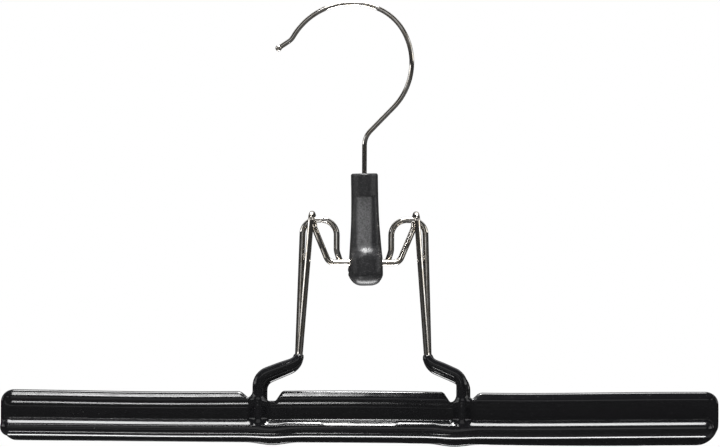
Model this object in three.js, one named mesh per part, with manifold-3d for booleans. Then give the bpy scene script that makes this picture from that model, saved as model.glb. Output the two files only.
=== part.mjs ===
// Trouser and skirt hanger with a flip lever: a wire hook swivels in a moulded lever, and the lever's
// spiral slot spreads two bent-wire frames that carry long coated clamp jaws.
// Millimetres, +Z up, front towards -Y. The origin is on the underside of the crook, above the shank,
// where the hanger rests on its rail.
import * as THREE from 'three';
import { mergeVertices } from 'three/addons/utils/BufferGeometryUtils.js';
import Module from 'manifold-3d';

const wasm = await Module();
wasm.setup();

// Driving dimensions: hook
const hookWire = 2.0; // diameter of the hook wire
const shankRise = 11.7; // straight shank above the lever
const neckBend = { radius: 8.8, turn: -44 }; // sideways bend above the shank, degrees to the right
const neckRun = 13.8; // straight slope from the neck to the crook
const crookSideBend = { radius: 26.7, turn: 73.3 };
const crookTopBend = { radius: 22.3, turn: 39 };
const crookEndBend = { radius: 28.3, turn: 81.6 };
const tipBend = { radius: 6.4, turn: -26 }; // the tip turns out again
const tipRun = 5.0;
const tipBead = 2.7; // diameter of the rounded tip
const headWidth = 4.6; // upset head that keeps the hook in the lever
const headHeight = 2.2;
const headDepth = 11.0; // from the lever's top to the head

// Driving dimensions: lever
const leverLength = 46.9;
const leverTopWidth = 11.3;
const leverWaistWidth = 11.7;
const leverWaistDrop = 20.0; // from the top to the waist
const leverSwellWidth = 12.8;
const leverSwellDrop = 28.0; // from the top to where the thumb flat starts to rise to the bulb
const leverBulbWidth = 13.9;
const leverFootBend = 5.0; // rounding of the bulb's foot
const collarHeight = 9.4; // round collar above the thumb flat
const thumbFlat = 4.2; // from the shank's axis to the flattened front
const leverBackDepth = 5.6; // from the shank's axis to the back
const leverWall = 1.5; // wall round the cross wires
const leverEdge = 0.9; // rounding of the top edge and of the ledge over the thumb flat
const bulbSwell = 0.8; // what the bulb adds in front of the wall round the front cross wire

// Driving dimensions: wire frames
const frameWire = 2.5;
const crossDrop = 37.3; // from the lever's top to the cross wires
const crossSpacing = 4.0; // between the two cross wires, jaws closed
const pinRise = 17.4; // from the cross wires up to the pivot of the two frames
const loopRadius = 2.9; // front wire's loops over the rear wire
const loopBend = 0.98 * loopRadius; // two such bends just fit between a loop's upper corners
const loopDrift = 0.6; // each of a loop's corners lies this much nearer the middle than the last
const loopSpacing = 44.0;
const legSpread = 53.4; // front legs at the shoulders
const rearLegSpread = 55.0;
const rearLegTop = 51.0; // rear legs at the crest
const crestBend = 6.0;
const crestRise = 0.5; // rear wire's crest above the pivot
const innerBend = 6.5; // rear wire's arch towards the lever
const innerSpacing = 22.8; // between the inner strands of the rear wire
const elbowRise = 4.9; // from the cross wires up to the rear wire's lower elbows
const crossBendInner = 2.2;
const crossBendOuter = 3.6;
const crossHalfFront = 14.7; // from the middle to the end of the front cross wire
const crossHalfRear = 9.8;
const shoulderRise = 17.6; // from a stem's end up to its outer bend
const shoulderSlope = 6.5; // from the outer bends up to the legs' bends
const shoulderBend = 6.0;
const stemSpacing = 85.0;

// Driving dimensions: jaws
const jawLength = 299.6;
const sheet = 0.8; // pressed steel of the jaws
const jawHeight = 19.5; // over the coating
const rollDepth = 3.8; // from the web to the lip of the rolled lower edge
const lipHeight = 4.8; // of that lip
const rollBend = 1.85; // centreline radius of the roll's two bends
const jawCorner = 5.4; // rounding of the four ends
const jawCoat = 0.9; // dipped coating on the sheet
const wireCoat = 1.2; // dipped coating on the wires
const coatTaper = 4.0; // length over which the coating runs out on a leg
const coatTaperEnd = 0.3; // what is left of it there
const jawGap = 0.7; // between the closed clamp faces
const jawDrop = 71.0; // from the pivot to the top of the front jaw
const rearOffset = 2.0; // the rear jaw hangs this much lower
const stemFoot = 5.5; // from a jaw's lower edge to the coated end of a stem
const coatRise = 34.8; // from the front jaw's lower edge to the end of the coating on the legs
const notchOuterDepth = 2.6;
const notchInnerDepth = 4.1;
const notchOuterReach = 7.2;
const notchInnerReach = 7.8;
const notchFlank = 2.8; // sideways run of a notch's slopes
const notchBend = 1.3; // rounding of a notch's corners

// Clearances
const runFit = 0.3; // moving pieces, all round
const seatFit = 0.12; // steel and wire inside their coating

// Facets
const wireSides = 12;
const beadRings = 8;
const leverSides = 32;
const edgeFacets = 4; // round a free edge of the coated sheet
const taperFacets = 4;
const footFacets = 5;
const slotFacets = 12;
const hookFacet = 8; // degrees of a bend
const frameFacet = 15;
const pressFacet = 30;
const cornerFacets = 4;

// Derived places
const hookPath = wireForm([
  new THREE.Vector3(0, 0, -headDepth - headHeight / 2),
  shankRise + headDepth + headHeight / 2,
  neckBend, neckRun, crookSideBend, crookTopBend, crookEndBend, tipBend, tipRun,
]);
const leverTop = -railSeatAbove(hookPath);
const crossZ = leverTop - crossDrop;
const frontCrossY = -crossSpacing / 2;
const rearCrossY = crossSpacing / 2;
const pinZ = crossZ + pinRise;
const frontJawBottom = pinZ - jawDrop - jawHeight;
const webY = jawGap / 2 + jawCoat + sheet / 2;
const stemY = webY + sheet / 2 + seatFit + frameWire / 2;
const coatedWire = frameWire + 2 * wireCoat;
const openAngle = 9.4; // degrees that the jaws open while the lever turns through its flip
const flipAngle = 90;

const finish = {
  nickel: { color: 0xd9d6cf, roughness: 0.18, metalness: 1 },
  steel: { color: 0x8c8f92, roughness: 0.45, metalness: 1 },
  coating: { color: 0x131315, roughness: 0.16, metalness: 0 },
  lever: { color: 0x2c2c2f, roughness: 0.42, metalness: 0 },
};

// Solids

function toSolid(geometry) {
  const bare = new THREE.BufferGeometry();
  bare.setAttribute('position', geometry.getAttribute('position'));
  if (geometry.index) bare.setIndex(geometry.index);
  const merged = mergeVertices(bare, 1e-4);
  const mesh = new wasm.Mesh({
    numProp: 3,
    vertProperties: new Float32Array(merged.getAttribute('position').array),
    triVerts: new Uint32Array(merged.index.array),
  });
  return new wasm.Manifold(mesh);
}

function toGeometry(solid) {
  const { vertProperties, triVerts } = solid.getMesh();
  const geometry = new THREE.BufferGeometry();
  geometry.setAttribute('position', new THREE.BufferAttribute(new Float32Array(vertProperties), 3));
  geometry.setIndex(Array.from(triVerts));
  return geometry;
}

function namedMesh(name, solid, look) {
  const mesh = new THREE.Mesh(toGeometry(solid), new THREE.MeshStandardMaterial(look));
  mesh.name = name;
  return mesh;
}

function joined(solids) {
  return solids.reduce((sum, solid) => sum.add(solid));
}

function cutBy(solid, tools) {
  return tools.reduce((rest, tool) => rest.subtract(tool), solid);
}

// Wire paths: stations with a point and a tangent, dense on bends and bare on straight runs

class StationPath extends THREE.Curve {
  constructor(stations) {
    super();
    this.stations = stations;
  }

  getPoint(t, target = new THREE.Vector3()) {
    const place = t * (this.stations.length - 1);
    const low = Math.min(Math.floor(place), this.stations.length - 2);
    return target.lerpVectors(this.stations[low].point, this.stations[low + 1].point, place - low);
  }

  getPointAt(u, target) {
    return this.getPoint(u, target);
  }

  getTangentAt(u, target = new THREE.Vector3()) {
    return target.copy(this.stations[Math.round(u * (this.stations.length - 1))].tangent);
  }
}

// A wire bent in the XZ plane, as a bending machine does it: feed lengths and bends in turn
function wireForm([start, ...steps]) {
  const point = start.clone();
  let heading = Math.PI / 2;
  const along = () => new THREE.Vector3(Math.cos(heading), 0, Math.sin(heading));
  const stations = [{ point: point.clone(), tangent: along() }];
  for (const step of steps) {
    if (typeof step === 'number') {
      point.addScaledVector(along(), step);
      stations.push({ point: point.clone(), tangent: along() });
      continue;
    }
    const turn = THREE.MathUtils.degToRad(step.turn);
    const count = Math.ceil(Math.abs(step.turn) / hookFacet);
    const side = Math.sign(turn);
    const centre = point.clone().addScaledVector(normalOf(along()), side * step.radius);
    for (let i = 1; i <= count; i++) {
      heading += turn / count;
      point.copy(centre).addScaledVector(normalOf(along()), -side * step.radius);
      stations.push({ point: point.clone(), tangent: along() });
    }
  }
  return stations;
}

function normalOf(direction) {
  return new THREE.Vector3(-direction.z, 0, direction.x);
}

// Height above the path's zero of the crook's underside, straight over the shank
function railSeatAbove(stations) {
  for (let i = stations.length - 1; i > 0; i--) {
    const a = stations[i - 1].point;
    const b = stations[i].point;
    if (a.x > 0 && b.x <= 0) {
      const share = a.x / (a.x - b.x);
      return THREE.MathUtils.lerp(a.z, b.z, share) - hookWire / 2;
    }
  }
  throw new Error('the crook does not pass over the shank');
}

// A wire or sheet through corner points, each corner rounded by its bend radius
function filletedPath(corners, facet = frameFacet) {
  const last = corners.length - 1;
  const stations = [];
  const first = corners[0].at;
  stations.push({ point: first.clone(), tangent: corners[1].at.clone().sub(first).normalize() });
  for (let i = 1; i < last; i++) {
    const corner = corners[i].at;
    const into = corner.clone().sub(corners[i - 1].at).normalize();
    const out = corners[i + 1].at.clone().sub(corner).normalize();
    const turn = into.angleTo(out);
    const radius = corners[i].bend;
    const setback = radius * Math.tan(turn / 2);
    const inward = out.clone().sub(into).normalize();
    const centre = corner.clone().addScaledVector(inward, radius / Math.cos(turn / 2));
    const axis = into.clone().cross(out).normalize();
    const start = corner.clone().addScaledVector(into, -setback).sub(centre);
    const count = Math.max(2, Math.ceil(THREE.MathUtils.radToDeg(turn) / facet));
    for (let k = 0; k <= count; k++) {
      const angle = (turn * k) / count;
      stations.push({
        point: start.clone().applyAxisAngle(axis, angle).add(centre),
        tangent: into.clone().applyAxisAngle(axis, angle),
      });
    }
  }
  const end = corners[last].at;
  stations.push({ point: end.clone(), tangent: end.clone().sub(corners[last - 1].at).normalize() });
  return stations;
}

function tube(stations, diameter, sides = wireSides) {
  const section = new THREE.Shape().absarc(0, 0, diameter / 2, 0, 2 * Math.PI);
  return toSolid(new THREE.ExtrudeGeometry(section, {
    steps: stations.length - 1,
    curveSegments: sides / 2,
    bevelEnabled: false,
    extrudePath: new StationPath(stations),
  }));
}

function mirrored(corners) {
  const other = corners.map(({ at, bend }) => ({ at: new THREE.Vector3(-at.x, at.y, at.z), bend }));
  return [...corners, ...other.reverse()];
}

// Hook: the wire with its rounded tip and the upset head inside the lever

function raised(stations, height) {
  return stations.map(({ point, tangent }) => ({
    point: point.clone().setZ(point.z + height),
    tangent,
  }));
}

function discAt(diameter, height, z) {
  const disc = new THREE.CylinderGeometry(diameter / 2, diameter / 2, height, 2 * wireSides);
  return toSolid(disc.rotateX(Math.PI / 2).translate(0, 0, z));
}

function makeHook() {
  const stations = raised(hookPath, leverTop);
  const tip = stations[stations.length - 1].point;
  const bead = new THREE.SphereGeometry(tipBead / 2, wireSides, beadRings);
  bead.translate(tip.x, tip.y, tip.z);
  const head = discAt(headWidth, headHeight, leverTop - headDepth - headHeight / 2);
  return joined([tube(stations, hookWire), toSolid(bead), head]);
}

// Frames: half of each wire from the stem's end to the middle, then mirrored

function frontWireCorners() {
  const foot = frontJawBottom + stemFoot + coatedWire / 2;
  const shoulder = foot + shoulderRise;
  const loopTop = pinZ + loopRadius;
  const loopX = loopSpacing / 2;
  return mirrored([
    { at: new THREE.Vector3(stemSpacing / 2, -stemY, foot) },
    { at: new THREE.Vector3(stemSpacing / 2, -stemY, shoulder), bend: shoulderBend },
    { at: new THREE.Vector3(legSpread / 2, -stemY, shoulder + shoulderSlope), bend: shoulderBend },
    { at: new THREE.Vector3(loopX, -loopRadius, loopTop), bend: loopBend },
    { at: new THREE.Vector3(loopX - loopDrift, loopRadius, loopTop), bend: loopBend },
    { at: new THREE.Vector3(loopX - 2 * loopDrift, loopRadius, pinZ - loopRadius), bend: loopRadius },
    { at: new THREE.Vector3(crossHalfFront, frontCrossY, crossZ), bend: crossBendOuter },
  ]);
}

function rearWireCorners() {
  const foot = frontJawBottom - rearOffset + stemFoot + coatedWire / 2;
  const shoulder = foot + shoulderRise;
  const crest = pinZ + crestRise;
  const elbow = crossZ + elbowRise;
  return mirrored([
    { at: new THREE.Vector3(stemSpacing / 2, stemY, foot) },
    { at: new THREE.Vector3(stemSpacing / 2, stemY, shoulder), bend: shoulderBend },
    { at: new THREE.Vector3(rearLegSpread / 2, stemY, shoulder + shoulderSlope), bend: shoulderBend },
    { at: new THREE.Vector3(rearLegTop / 2, 0, crest), bend: crestBend },
    { at: new THREE.Vector3(innerSpacing / 2, 0, crest), bend: innerBend },
    { at: new THREE.Vector3(innerSpacing / 2, rearCrossY / 2, elbow), bend: innerBend },
    { at: new THREE.Vector3(crossHalfRear, rearCrossY, crossZ), bend: crossBendInner },
  ]);
}

// Jaws: one pressed profile serves the steel, its coating and the room inside the coating

// Outline of a sheet of the given thickness that follows a flat path, with square or round edges
function sheetProfile(stations, thickness, roundEdges) {
  const half = thickness / 2;
  const offset = ({ point, tangent }, side) => {
    const across = new THREE.Vector2(-tangent.z, tangent.x).multiplyScalar(side * half);
    return across.add(new THREE.Vector2(point.x, point.z));
  };
  const outline = stations.map((station) => offset(station, 1));
  if (roundEdges) outline.push(...roundEdge(stations[stations.length - 1], half, 1));
  outline.push(...stations.map((station) => offset(station, -1)).reverse());
  if (roundEdges) outline.push(...roundEdge(stations[0], half, -1));
  return new THREE.Shape(outline);
}

function roundEdge({ point, tangent }, radius, side) {
  const points = [];
  const across = new THREE.Vector2(-tangent.z, tangent.x).multiplyScalar(side);
  const ahead = new THREE.Vector2(tangent.x, tangent.z).multiplyScalar(side);
  for (let i = 1; i < edgeFacets; i++) {
    const angle = (Math.PI * i) / edgeFacets;
    points.push(new THREE.Vector2(point.x, point.z)
      .addScaledVector(across, radius * Math.cos(angle))
      .addScaledVector(ahead, radius * Math.sin(angle)));
  }
  return points;
}

// Centreline of the pressed strip, measured out from the closed jaws' middle plane and up from its
// own lower edge: a flat web whose lower edge is rolled outwards and up again
function stripPath() {
  const low = jawCoat + sheet / 2;
  const high = jawHeight - low;
  const lipY = webY + rollDepth;
  const lip = lipHeight - sheet / 2;
  return filletedPath([
    { at: new THREE.Vector3(lipY, 0, low + lip) },
    { at: new THREE.Vector3(lipY, 0, low), bend: rollBend },
    { at: new THREE.Vector3(webY, 0, low), bend: rollBend },
    { at: new THREE.Vector3(webY, 0, high) },
  ], pressFacet);
}

function extrudedAlongX(shape, length) {
  const geometry = new THREE.ExtrudeGeometry(shape, { depth: length, bevelEnabled: false });
  geometry.translate(0, 0, -length / 2);
  geometry.applyMatrix4(new THREE.Matrix4().makeBasis(
    new THREE.Vector3(0, 1, 0), new THREE.Vector3(0, 0, 1), new THREE.Vector3(1, 0, 0)));
  return toSolid(geometry);
}

function extrudedAlongY(shape, depth) {
  const options = { depth, bevelEnabled: false, curveSegments: cornerFacets };
  const geometry = new THREE.ExtrudeGeometry(shape, options);
  geometry.applyMatrix4(new THREE.Matrix4().makeBasis(
    new THREE.Vector3(-1, 0, 0), new THREE.Vector3(0, 0, 1), new THREE.Vector3(0, 1, 0)));
  return toSolid(geometry);
}

function roundedOutline(inset) {
  const halfLength = jawLength / 2 - inset;
  const radius = jawCorner - inset;
  const low = inset;
  const high = jawHeight - inset;
  const shape = new THREE.Shape();
  shape.absarc(halfLength - radius, low + radius, radius, -Math.PI / 2, 0);
  shape.absarc(halfLength - radius, high - radius, radius, 0, Math.PI / 2);
  shape.absarc(radius - halfLength, high - radius, radius, Math.PI / 2, Math.PI);
  shape.absarc(radius - halfLength, low + radius, radius, Math.PI, 1.5 * Math.PI);
  return shape;
}

// Clearing in the upper edge where a stem comes through; side is 1 or -1 for the two stems
function notchShape(side, grow) {
  const corner = (reach, depth) => ({
    at: new THREE.Vector3(side * (stemSpacing / 2 + reach), 0, jawHeight - depth),
    bend: notchBend,
  });
  const outer = notchOuterReach + grow;
  const inner = notchInnerReach + grow;
  const outline = filletedPath([
    corner(outer + notchFlank, -notchBend),
    corner(outer, 0),
    corner(outer - notchFlank, notchOuterDepth + grow),
    corner(notchFlank - inner, notchInnerDepth + grow),
    corner(-inner, 0),
    corner(-inner - notchFlank, -notchBend),
  ], pressFacet);
  return new THREE.Shape(outline.map(({ point }) => new THREE.Vector2(point.x, point.z)));
}

// The strip at one offset from the coated surface: 0 is the coating's outside, jawCoat the steel
function stripSolid(inset) {
  const thickness = sheet + 2 * (jawCoat - inset);
  const bar = extrudedAlongX(sheetProfile(stripPath(), thickness, inset < jawCoat), jawLength);
  const depth = webY + rollDepth + thickness;
  const outline = extrudedAlongY(roundedOutline(inset), depth);
  const notches = [1, -1].map((side) => extrudedAlongY(notchShape(side, inset), depth));
  return cutBy(bar.intersect(outline), notches);
}

// Coating on one stem, shoulder and leg: a round foot, a sleeve, and a taper where the dip ended
function sleeve(wire) {
  const foot = wire[0].point;
  const ball = new THREE.SphereGeometry(coatedWire / 2, wireSides, beadRings);
  ball.rotateX(Math.PI / 2).translate(foot.x, foot.y, foot.z);
  const stop = frontJawBottom + coatRise;
  const start = stop - coatTaper;
  const rings = [];
  for (let i = taperFacets; i >= 0; i--) {
    const share = i / taperFacets;
    const coat = THREE.MathUtils.lerp(wireCoat, coatTaperEnd, share ** 2);
    const stretch = upTo(wire, THREE.MathUtils.lerp(start - seatFit, stop, share));
    rings.push(wireRing(stretch[stretch.length - 1], frameWire / 2 + coat));
  }
  return joined([toSolid(ball), tube(upTo(wire, start), coatedWire), loft(rings)]);
}

function wireRing({ point, tangent }, radius) {
  const across = new THREE.Vector3(0, 1, 0).cross(tangent).normalize();
  const forth = tangent.clone().cross(across);
  const ring = [];
  for (let i = 0; i < wireSides; i++) {
    const angle = (2 * Math.PI * i) / wireSides;
    ring.push(point.clone()
      .addScaledVector(across, radius * Math.cos(angle))
      .addScaledVector(forth, radius * Math.sin(angle)));
  }
  return ring;
}

// The stations of a wire from its end up to a height
function upTo(stations, height) {
  const beyond = stations.findIndex(({ point }) => point.z > height);
  const low = stations[beyond - 1];
  const high = stations[beyond];
  const share = (height - low.point.z) / (high.point.z - low.point.z);
  const last = {
    point: low.point.clone().lerp(high.point, share),
    tangent: low.tangent.clone().lerp(high.tangent, share).normalize(),
  };
  return [...stations.slice(0, beyond), last];
}

// Front jaw pieces are made facing +Y and turned to face -Y by their sign
function placedJaw(solid, facing, bottom) {
  const matrix = facing > 0
    ? [1, 0, 0, 0, 0, 1, 0, 0, 0, 0, 1, 0, 0, 0, bottom, 1]
    : [-1, 0, 0, 0, 0, -1, 0, 0, 0, 0, 1, 0, 0, 0, bottom, 1];
  const geometry = toGeometry(solid).applyMatrix4(new THREE.Matrix4().fromArray(matrix));
  return toSolid(geometry);
}

// The same wire walked from its other end
function reversed(stations) {
  return [...stations].reverse().map(({ point, tangent }) => ({ point, tangent: tangent.clone().negate() }));
}

function makeJaw(facing, bottom, wireCorners) {
  const steel = placedJaw(stripSolid(jawCoat), facing, bottom);
  const skin = placedJaw(stripSolid(0), facing, bottom);
  const room = placedJaw(stripSolid(jawCoat - seatFit), facing, bottom);
  const wire = filletedPath(wireCorners);
  const sleeves = [wire, reversed(wire)].map(sleeve);
  const wireRoom = tube(wire, frameWire + 2 * seatFit);
  const coating = cutBy(joined([skin, ...sleeves]), [room, wireRoom]);
  return { steel, coating };
}

// Lever: a loft of rounded sections, bored for the hook and the two cross wires

// Place of the rear cross wire as the lever sees it, measured from the front cross wire
function rearWireInLever(flip) {
  const flipRad = THREE.MathUtils.degToRad(flip);
  const openRad = THREE.MathUtils.degToRad((openAngle * flip) / flipAngle);
  const rear = new THREE.Vector2(rearCrossY, -pinRise).rotateAround(new THREE.Vector2(), openRad);
  const fromFront = rear.sub(new THREE.Vector2(frontCrossY, -pinRise));
  return fromFront.rotateAround(new THREE.Vector2(), -flipRad);
}

// Outline of the spiral slot: the rear cross wire's way through the flip, with room all round
function camSlotShape() {
  const stations = [];
  for (let i = 0; i <= slotFacets; i++) {
    const flip = (flipAngle * i) / slotFacets;
    const here = rearWireInLever(flip);
    const step = rearWireInLever(flip + 0.5).sub(rearWireInLever(flip - 0.5));
    stations.push({
      point: new THREE.Vector3(here.x + frontCrossY, 0, here.y + crossZ),
      tangent: new THREE.Vector3(step.x, 0, step.y).normalize(),
    });
  }
  return sheetProfile(stations, frameWire + 2 * runFit, true);
}

// Sections down the lever, each an oval of half width and half depths, flattened in front at flat
function leverSections() {
  const round = leverTopWidth / 2;
  const bulb = leverBulbWidth / 2;
  const bulbFront = bulbSwell + leverWall + frameWire / 2 - frontCrossY;
  const sections = [];
  const add = (drop, half, front, back, flat) => {
    sections.push({ z: leverTop - drop, half, front, back, flat });
  };
  for (const share of [0, 0.3, 1]) {
    const inset = leverEdge * (1 - share);
    add(leverEdge * share * share, round - inset, round - inset, round - inset, round);
  }
  add(collarHeight - leverEdge, round, round, round, round);
  add(collarHeight, round, round, leverBackDepth, round - leverEdge / 3);
  add(collarHeight + leverEdge, round, round, leverBackDepth, thumbFlat);
  add(leverWaistDrop, leverWaistWidth / 2, round, leverBackDepth, thumbFlat);
  add(leverSwellDrop, leverSwellWidth / 2, round, leverBackDepth, thumbFlat + bulbSwell / 2);
  add(crossDrop - frameWire, bulb, bulbFront, leverBackDepth, bulbFront);
  for (let i = 0; i <= footFacets; i++) {
    const angle = (Math.PI * i) / (2 * footFacets);
    const inset = leverFootBend * (1 - Math.cos(angle));
    const drop = leverLength - leverFootBend * (1 - Math.sin(angle));
    add(drop, bulb - inset, bulbFront - inset, leverBackDepth - inset, bulbFront);
  }
  return sections;
}

function sectionRing({ z, half, front, back, flat }) {
  const ring = [];
  for (let i = 0; i < leverSides; i++) {
    const angle = (2 * Math.PI * i) / leverSides;
    const y = (angle > Math.PI ? front : back) * Math.sin(angle);
    ring.push(new THREE.Vector3(half * Math.cos(angle), Math.max(y, -flat), z));
  }
  return ring;
}

// Skin through rings of equal count, from the top down, closed by a fan at each end
function loft(rings) {
  const count = rings[0].length;
  const middle = (ring) => ring.reduce((sum, p) => sum.add(p), new THREE.Vector3()).divideScalar(count);
  const points = [...rings.flat(), middle(rings[0]), middle(rings[rings.length - 1])];
  const topPole = points.length - 2;
  const endPole = points.length - 1;
  const faces = [];
  for (let i = 0; i < count; i++) {
    const next = (i + 1) % count;
    faces.push(topPole, i, next);
    faces.push(endPole, (rings.length - 1) * count + next, (rings.length - 1) * count + i);
    for (let r = 0; r < rings.length - 1; r++) {
      const a = r * count + i;
      const b = r * count + next;
      faces.push(a, a + count, b, b, a + count, b + count);
    }
  }
  const geometry = new THREE.BufferGeometry().setFromPoints(points);
  geometry.setIndex(faces);
  return toSolid(geometry);
}

function makeLever() {
  const body = loft(leverSections().map(sectionRing));
  const bore = discAt(hookWire + 2 * runFit, headDepth + leverWall, leverTop - (headDepth - leverWall) / 2);
  const headZ = leverTop - headDepth - headHeight / 2;
  const headRoom = discAt(headWidth + 2 * runFit, headHeight + 2 * runFit, headZ);
  const holeRadius = frameWire / 2 + runFit;
  const hole = new THREE.CylinderGeometry(holeRadius, holeRadius, 2 * leverBulbWidth, 2 * wireSides);
  hole.rotateZ(Math.PI / 2).translate(0, frontCrossY, crossZ);
  const slot = extrudedAlongX(camSlotShape(), 2 * leverBulbWidth);
  return cutBy(body, [bore, headRoom, toSolid(hole), slot]);
}

const group = new THREE.Group();
const frontCorners = frontWireCorners();
const rearCorners = rearWireCorners();
const frontJaw = makeJaw(-1, frontJawBottom, frontCorners);
const rearJaw = makeJaw(1, frontJawBottom - rearOffset, rearCorners);

group.add(
  namedMesh('hook_wire', makeHook(), finish.nickel),
  namedMesh('lever', makeLever(), finish.lever),
  namedMesh('front_frame_wire', tube(filletedPath(frontCorners), frameWire), finish.nickel),
  namedMesh('rear_frame_wire', tube(filletedPath(rearCorners), frameWire), finish.nickel),
  namedMesh('front_jaw_strip', frontJaw.steel, finish.steel),
  namedMesh('rear_jaw_strip', rearJaw.steel, finish.steel),
  namedMesh('front_jaw_coating', frontJaw.coating, finish.coating),
  namedMesh('rear_jaw_coating', rearJaw.coating, finish.coating),
);

export default group;
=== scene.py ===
import math

import bmesh
import bpy
import numpy as np
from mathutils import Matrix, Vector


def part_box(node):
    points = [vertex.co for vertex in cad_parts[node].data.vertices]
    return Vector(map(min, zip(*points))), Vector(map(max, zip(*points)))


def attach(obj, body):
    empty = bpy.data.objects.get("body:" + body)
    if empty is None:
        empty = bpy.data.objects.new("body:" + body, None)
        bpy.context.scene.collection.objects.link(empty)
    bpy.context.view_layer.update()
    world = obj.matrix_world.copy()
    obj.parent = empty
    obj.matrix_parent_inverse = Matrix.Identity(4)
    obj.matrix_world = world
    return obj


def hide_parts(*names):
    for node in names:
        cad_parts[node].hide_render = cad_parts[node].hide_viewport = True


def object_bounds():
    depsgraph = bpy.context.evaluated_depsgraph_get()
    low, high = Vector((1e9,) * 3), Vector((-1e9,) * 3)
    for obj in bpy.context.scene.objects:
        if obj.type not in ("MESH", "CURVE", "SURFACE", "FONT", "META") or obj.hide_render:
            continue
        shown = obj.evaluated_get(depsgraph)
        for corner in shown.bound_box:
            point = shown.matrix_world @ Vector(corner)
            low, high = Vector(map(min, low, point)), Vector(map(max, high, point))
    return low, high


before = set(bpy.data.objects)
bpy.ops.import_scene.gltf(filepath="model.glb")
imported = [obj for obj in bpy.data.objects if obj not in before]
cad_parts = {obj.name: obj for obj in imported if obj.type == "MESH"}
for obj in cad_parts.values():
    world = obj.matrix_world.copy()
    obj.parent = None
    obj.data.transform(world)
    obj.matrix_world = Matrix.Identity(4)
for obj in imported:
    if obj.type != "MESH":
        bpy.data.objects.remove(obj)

import openvdb
from mathutils import Euler, Matrix, Vector

cad_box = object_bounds()


# Hook wire. One length of nickel-plated round steel wire, bent cold to a crook: shank, neck, three
# bends of falling and rising radius, and a tip that turns out again and ends in a rounded bead. Its
# lower end is upset to a head inside the lever, so that the hook swivels there.

def bent_wire(start, heading, steps, fine=math.radians(2.0)):
    """Points along a wire bent in the XZ plane: a number feeds it, a (radius, turn) pair bends it."""
    point = Vector(start)
    points = [point.copy()]
    for step in steps:
        along = Vector((math.cos(heading), 0, math.sin(heading)))
        if isinstance(step, float):
            point = point + along * step
            points.append(point.copy())
            continue
        radius, turn = step
        side = math.copysign(1, turn)
        centre = point + Vector((-along.z, 0, along.x)) * side * radius
        count = max(2, math.ceil(abs(turn) / fine))
        for i in range(1, count + 1):
            angle = heading + turn * i / count
            point = centre + Vector((math.sin(angle), 0, -math.cos(angle))) * side * radius
            points.append(point.copy())
        heading += turn
    return points


def placed(name, data):
    """The data as a new object in the scene, at the origin."""
    thing = bpy.data.objects.new(name, data)
    bpy.context.scene.collection.objects.link(thing)
    return thing


def path_object(name, points, radii=None):
    """A poly curve through the points, whose point radii scale the wire's section."""
    curve = bpy.data.curves.new(name, "CURVE")
    curve.dimensions = "3D"
    curve.twist_mode = "MINIMUM"
    spline = curve.splines.new("POLY")
    spline.points.add(len(points) - 1)
    for i, point in enumerate(points):
        spline.points[i].co = (*point, 1.0)
        spline.points[i].radius = radii[i] if radii else 1.0
    return placed(name, curve)


def drawn_wire_tree():
    """Geometry Nodes: a round wire of named diameter swept along the curve, with closed ends."""
    tree = bpy.data.node_groups.new("drawn_wire", "GeometryNodeTree")
    face = tree.interface
    face.new_socket("Path", in_out="INPUT", socket_type="NodeSocketGeometry")
    face.new_socket("Wire diameter", in_out="INPUT", socket_type="NodeSocketFloat")
    face.new_socket("Facets round", in_out="INPUT", socket_type="NodeSocketInt")
    face.new_socket("Finish", in_out="INPUT", socket_type="NodeSocketMaterial")
    face.new_socket("Wire", in_out="OUTPUT", socket_type="NodeSocketGeometry")
    nodes, links = tree.nodes, tree.links
    given = nodes.new("NodeGroupInput")
    half = nodes.new("ShaderNodeMath")
    half.operation = "MULTIPLY"
    half.inputs[1].default_value = 0.5
    section = nodes.new("GeometryNodeCurvePrimitiveCircle")
    sweep = nodes.new("GeometryNodeCurveToMesh")
    sweep.inputs["Fill Caps"].default_value = True
    thickness = nodes.new("GeometryNodeInputRadius")
    smooth = nodes.new("GeometryNodeSetShadeSmooth")
    realize = nodes.new("GeometryNodeRealizeInstances")
    paint = nodes.new("GeometryNodeSetMaterial")
    result = nodes.new("NodeGroupOutput")
    links.new(given.outputs["Wire diameter"], half.inputs[0])
    links.new(half.outputs[0], section.inputs["Radius"])
    links.new(given.outputs["Facets round"], section.inputs["Resolution"])
    links.new(given.outputs["Path"], sweep.inputs["Curve"])
    links.new(section.outputs["Curve"], sweep.inputs["Profile Curve"])
    links.new(thickness.outputs["Radius"], sweep.inputs["Scale"])
    links.new(sweep.outputs["Mesh"], smooth.inputs["Geometry"])
    links.new(smooth.outputs["Geometry"], realize.inputs["Geometry"])
    links.new(realize.outputs["Geometry"], paint.inputs["Geometry"])
    links.new(given.outputs["Finish"], paint.inputs["Material"])
    links.new(paint.outputs["Geometry"], result.inputs["Wire"])
    return tree


def swept(name, points, diameter, facets, finish, radii=None):
    """The wire made by the tree, as a plain mesh object at the origin."""
    carrier = path_object(name + "_path", points, radii)
    modifier = carrier.modifiers.new("wire", "NODES")
    modifier.node_group = wire_tree
    inputs = {s.name: s.identifier for s in wire_tree.interface.items_tree if s.in_out == "INPUT"}
    modifier[inputs["Wire diameter"]] = diameter
    modifier[inputs["Facets round"]] = facets
    modifier[inputs["Finish"]] = finish
    bpy.context.view_layer.update()
    graph = bpy.context.evaluated_depsgraph_get()
    mesh = bpy.data.meshes.new_from_object(carrier.evaluated_get(graph), depsgraph=graph)
    bpy.data.objects.remove(carrier)
    mesh.name = name
    return placed(name, mesh)


def shader(name):
    """A new node material: its node tree, its Principled shader and its Object coordinates."""
    material = bpy.data.materials.new(name)
    material.use_nodes = True
    tree = material.node_tree
    principled = tree.nodes["Principled BSDF"]
    place = tree.nodes.new("ShaderNodeTexCoord").outputs["Object"]
    return material, tree, principled, place


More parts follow.
